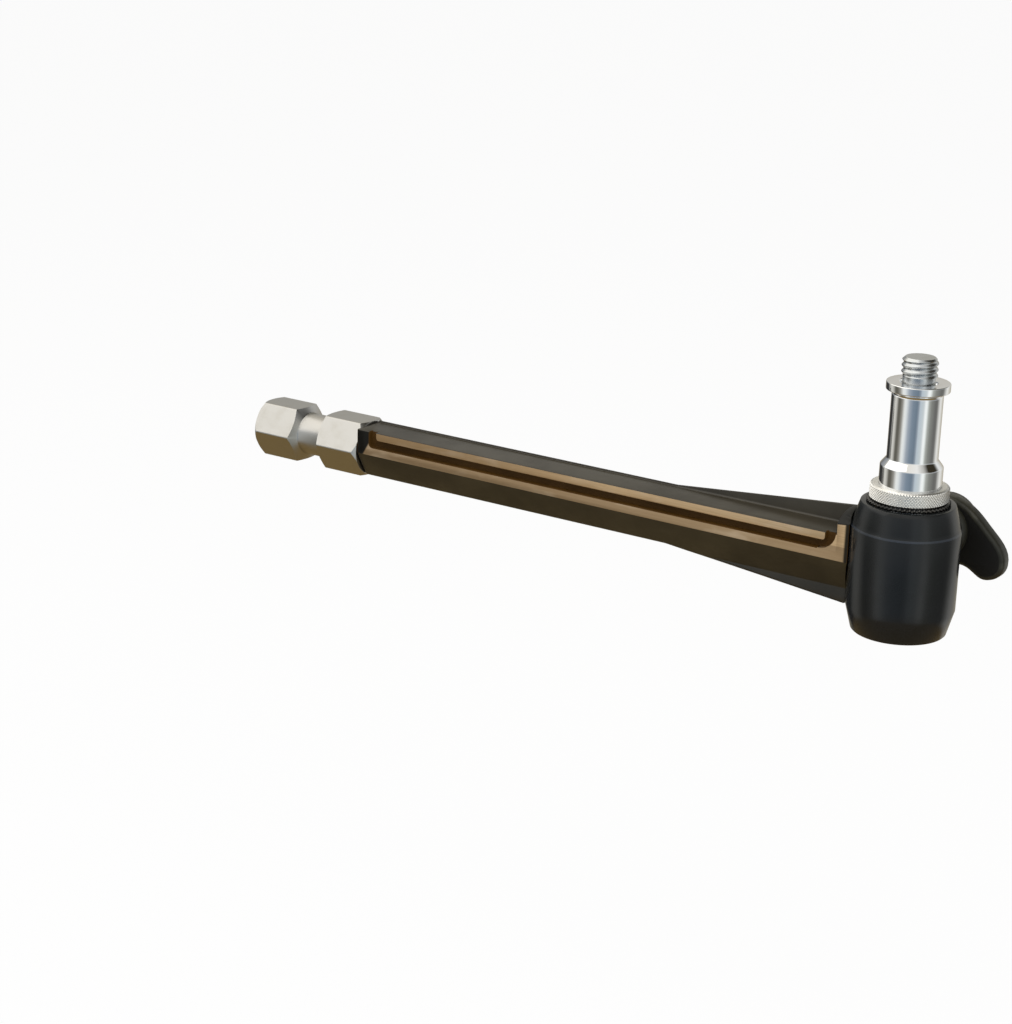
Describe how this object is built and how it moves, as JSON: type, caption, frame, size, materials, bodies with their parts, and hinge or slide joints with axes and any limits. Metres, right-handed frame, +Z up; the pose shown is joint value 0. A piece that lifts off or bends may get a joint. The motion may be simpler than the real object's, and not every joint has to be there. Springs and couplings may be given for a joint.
{
  "type": "extension arm",
  "caption": "Short cast extension arm: hexagonal 16 mm stud, long grooved bar flaring to an upright barrel, lockable plated spigot with a threaded tip and a wing knob behind",
  "frame": {"origin": "centre of the hexagonal stud's end face", "axes": "+X along the arm from the stud to the barrel, +Y to the side with the wing knob, +Z up the spigot"},
  "size_m": [0.2287, 0.0439, 0.0723],
  "materials": {
    "black_casting": "satin black coat on a cast surface",
    "black_barrel": "smooth satin black coat",
    "bright_plate": "bright plated, fine turning marks",
    "dull_steel": "dull zinc-plated steel",
    "dark_steel": "blackened steel",
    "brass": "turned brass",
    "black_plastic": "moulded black plastic"
  },
  "bodies": {
    "arm": {"arm_casting": "black_casting", "hex_stud": "dull_steel", "stud_roll_pin": "dark_steel", "socket_barrel": "black_barrel", "socket_bush": "brass", "bottom_plug": "dark_steel", "barrel_screw_upper": "dark_steel", "barrel_screw_lower": "dark_steel", "mouth_washer": "dark_steel", "lock_lug": "dull_steel"},
    "spigot": {"spigot_body": "bright_plate", "thread_stud": "dull_steel", "knurled_ring": "bright_plate", "ring_set_screw": "dark_steel", "spigot_circlip": "dark_steel"},
    "shoe": {"brake_shoe": "brass"},
    "knob": {"wing_knob": "black_plastic", "lock_screw": "dark_steel", "thrust_washer": "dull_steel", "knob_cross_pin": "dull_steel", "knob_cap": "black_plastic"}
  },
  "joints": [
    {"name": "spigot_turn", "type": "hinge", "parent": "arm", "child": "spigot", "pos_m": [0.21, 0, 0.03], "axis": [0, 0, 1], "continuous": true},
    {"name": "shoe_travel", "type": "slide", "parent": "arm", "child": "shoe", "axis": [0, 1, 0], "range_m": [0, 0.00187]},
    {"name": "knob_turn", "type": "hinge", "parent": "shoe", "child": "knob", "pos_m": [0.21, 0.022, 0.005], "axis": [0, 1, 0], "range_deg": [0, 540]}
  ],
  "couplings": [
    {"joint": "knob_turn", "follows": "shoe_travel", "rad_per_m": 5026.5}
  ]
}
